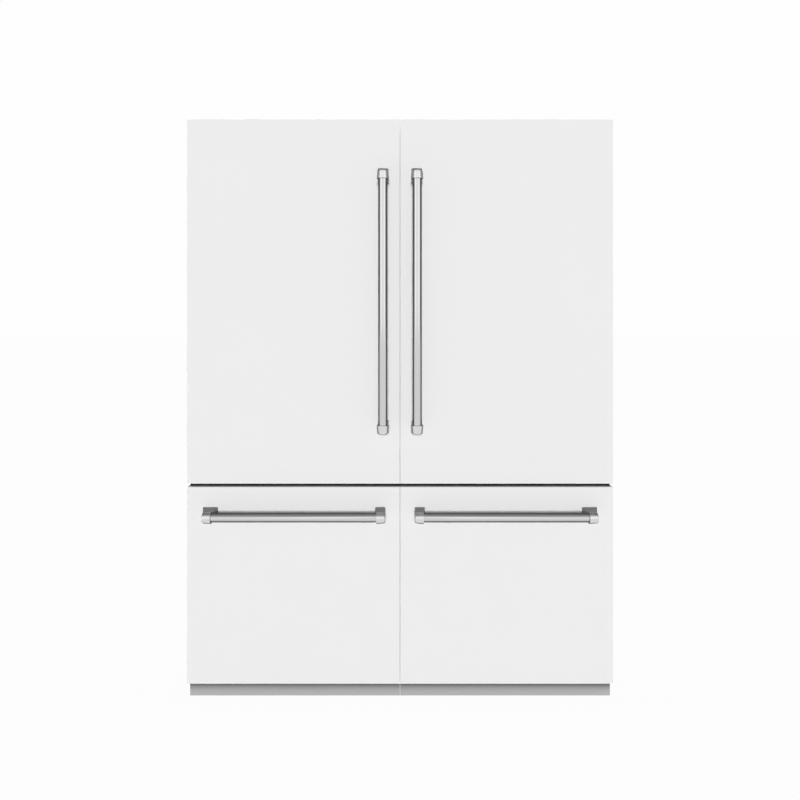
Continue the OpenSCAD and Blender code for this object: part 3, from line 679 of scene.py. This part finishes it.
def door_bins(side, materials):
    """The bins on a door, each with two stiffening ribs on the wall that faces the shelves."""
    node = f"{side}_door_bins"
    rib_inset, rib_height = 30 * MM, 3 * MM
    shapes = []
    for lo, hi in islands(node):
        shapes.append(tub(lo, hi, 2.5 * MM, 16 * MM, rim=(1.5 * MM, 1.5 * MM), rim_depth=6 * MM))
        for z in (lo.z + 0.35 * (hi.z - lo.z), lo.z + 0.5 * (hi.z - lo.z)):
            rib_lo = (lo.x + rib_inset, hi.y - 2.2 * MM, z)
            rib_hi = (hi.x - rib_inset, hi.y - 0.7 * MM, z + rib_height)
            shapes.append(round_box(rib_lo, rib_hi, 0.7 * MM))
    piece = make_piece(f"{node}_moulded", *merged(*shapes), materials["clear_plastic"])
    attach(piece, f"{side}_door")
    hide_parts(node)


def hung_tub(node, body, materials):
    """A freezer basket or tray that hangs by the rims along its sides, with a ribbed floor."""
    lo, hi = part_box(node)
    corner, rib_half, bays = 24 * MM, 3 * MM, 8
    shapes = [tub(lo, hi, 3 * MM, corner, rim=(7 * MM, 1.5 * MM), rim_depth=3 * MM, foot=12 * MM)]
    for k in range(1, bays):
        x = lo.x + (hi.x - lo.x) * k / bays
        rib_lo = (x - rib_half, lo.y + corner, lo.z + 2.5 * MM)
        rib_hi = (x + rib_half, hi.y - corner, lo.z + 4.5 * MM)
        shapes.append(round_box(rib_lo, rib_hi, 0.9 * MM))
    piece = make_piece(f"{node}_moulded", *merged(*shapes), materials["clear_plastic"])
    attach(piece, body)
    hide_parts(node)


def crisper(side, materials):
    """A crisper drawer with a hooked grip across the front."""
    node = f"{side}_crisper"
    lo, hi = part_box(node)
    grip, grip_half = 12 * MM, 100 * MM
    body_lo = Vector((lo.x, lo.y + grip, lo.z))
    shapes = [tub(body_lo, hi, 2.5 * MM, 20 * MM, rim=(10 * MM, 1.0 * MM), rim_depth=3 * MM, foot=10 * MM)]
    mid = (lo.x + hi.x) / 2
    top = hi.z - 21 * MM
    left, right = mid - grip_half, mid + grip_half
    shapes.append(round_box((left, lo.y, top - 6 * MM), (right, lo.y + grip + 3 * MM, top), 2.4 * MM))
    shapes.append(round_box((left, lo.y, top - 12 * MM), (right, lo.y + 3 * MM, top - 1 * MM), 1.4 * MM))
    piece = make_piece(f"{node}_moulded", *merged(*shapes), materials["clear_plastic"])
    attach(piece, node)
    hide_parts(node)


# ---------- back panel ----------
def bead(x0, x1, y, z, half, height, steps=8):
    """A stiffening bead pressed outwards: a low round ridge along X with round ends."""
    stations = [half * (1 - math.cos(math.pi / 2 * k / steps)) for k in range(1, steps + 1)]
    places = [(x0 + e, e) for e in stations] + [(x1 - e, e) for e in reversed(stations)]
    rings = []
    for x, from_end in places:
        swell = math.sqrt(1 - (1 - min(from_end / half, 1)) ** 2)
        ring = []
        for k in range(2 * steps + 1):
            angle = math.pi * (k / (2 * steps) - 0.5)
            ring.append((x, y + height * swell * math.cos(angle), z + half * swell * math.sin(angle)))
        rings.append(ring)
    return loft(rings)


def back_panel(materials):
    """The sheet steel back, with two columns of pressed beads that keep it from drumming."""
    lo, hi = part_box("back_panel")
    margin, half, rows = 70 * MM, 9 * MM, 9
    bead_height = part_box("outer_wrapper")[1].y - hi.y - 0.4 * MM
    shapes = [round_box(lo, hi, 0.4 * MM)]
    for row in range(rows):
        z = lo.z + (row + 0.7) * (hi.z - lo.z) / (rows + 0.4)
        for x0, x1 in ((lo.x + margin, -margin / 2), (margin / 2, hi.x - margin)):
            shapes.append(bead(x0, x1, hi.y - 0.1 * MM, z, half, bead_height))
    piece = make_piece("back_panel_pressed", *merged(*shapes), materials["galvanised_steel"])
    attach(piece, "cabinet")
    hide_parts("back_panel")


# ---------- carried-over CAD parts ----------
def dress(node, material, bevel):
    """A CAD part that keeps its shape: its own material, and small rounds on its edges."""
    part = NODES[node]
    part.data.materials.clear()
    part.data.materials.append(material)
    for polygon in part.data.polygons:
        polygon.use_smooth = True
    weld = part.modifiers.new("weld", "WELD")
    weld.merge_threshold = 1e-5
    if bevel:
        rounds = part.modifiers.new("rounds", "BEVEL")
        rounds.width = bevel
        rounds.segments = 3
        rounds.limit_method = "ANGLE"
        rounds.angle_limit = math.radians(40)
        rounds.harden_normals = True
        rounds.miter_outer = "MITER_ARC"
    normals = part.modifiers.new("normals", "WEIGHTED_NORMAL")
    normals.keep_sharp = True
    normals.weight = 90


# A part in neither table keeps its sharp edges.
BEVELS_MM = {
    "outer_wrapper": 1.0, "base_frame": 1.0, "shelf_frames": 2.0, "glass_shelves": 0.6,
    "air_duct_covers": 1.5, "hinge_brackets": 1.0, "band_trim": 0.8, "kick_plates": 0.8, "control_box": 2.5,
    "led_lights": 1.5, "control_panel": 2.0, "machine_cover": 0.4, "drawer_rails": 0.4,
    "fan_shroud": 0.8, "fridge_liners": 1.2, "freezer_liners": 1.2,
    "leveling_feet": 1.2, "rear_rollers": 1.5, "compressor": 3.0, "dairy_lid": 1.0, "cabinet_screws": 0.6,
}
# These go by the part's name without its side.
TAIL_BEVELS_MM = {
    "door_skin": 0.6, "drawer_skin": 0.6, "door_inner_panel": 3.0, "drawer_inner_panel": 3.0,
    "drawer_runners": 0.4, "middle_runners": 0.4,
}


def dress_the_rest(materials):
    """Every CAD part that no finer mesh replaces."""
    slots = {s["node"]: s["material_slot"] for s in frame["record"]["subparts"]}
    for node, part in NODES.items():
        if part.hide_render:
            continue
        tail = node.split("_", 1)[-1]
        bevel = BEVELS_MM.get(node, TAIL_BEVELS_MM.get(tail, 0.0))
        dress(node, materials[slots[node]], bevel * MM)


# ---------- the whole scene ----------
scene = bpy.context.scene
scene.view_settings.view_transform = "Standard"
add_camera()
add_world()
add_front_light()
add_floor()
MATERIALS = make_materials()
for SIDE in ("left", "right"):
    for PART in ("door", "drawer"):
        handle(SIDE, PART, MATERIALS)
        gasket(SIDE, PART, MATERIALS)
    door_bins(SIDE, MATERIALS)
    crisper(SIDE, MATERIALS)
    hung_tub(f"{SIDE}_drawer_basket", f"{SIDE}_drawer", MATERIALS)
    hung_tub(f"{SIDE}_drawer_tray", f"{SIDE}_tray", MATERIALS)
back_panel(MATERIALS)
dress_the_rest(MATERIALS)
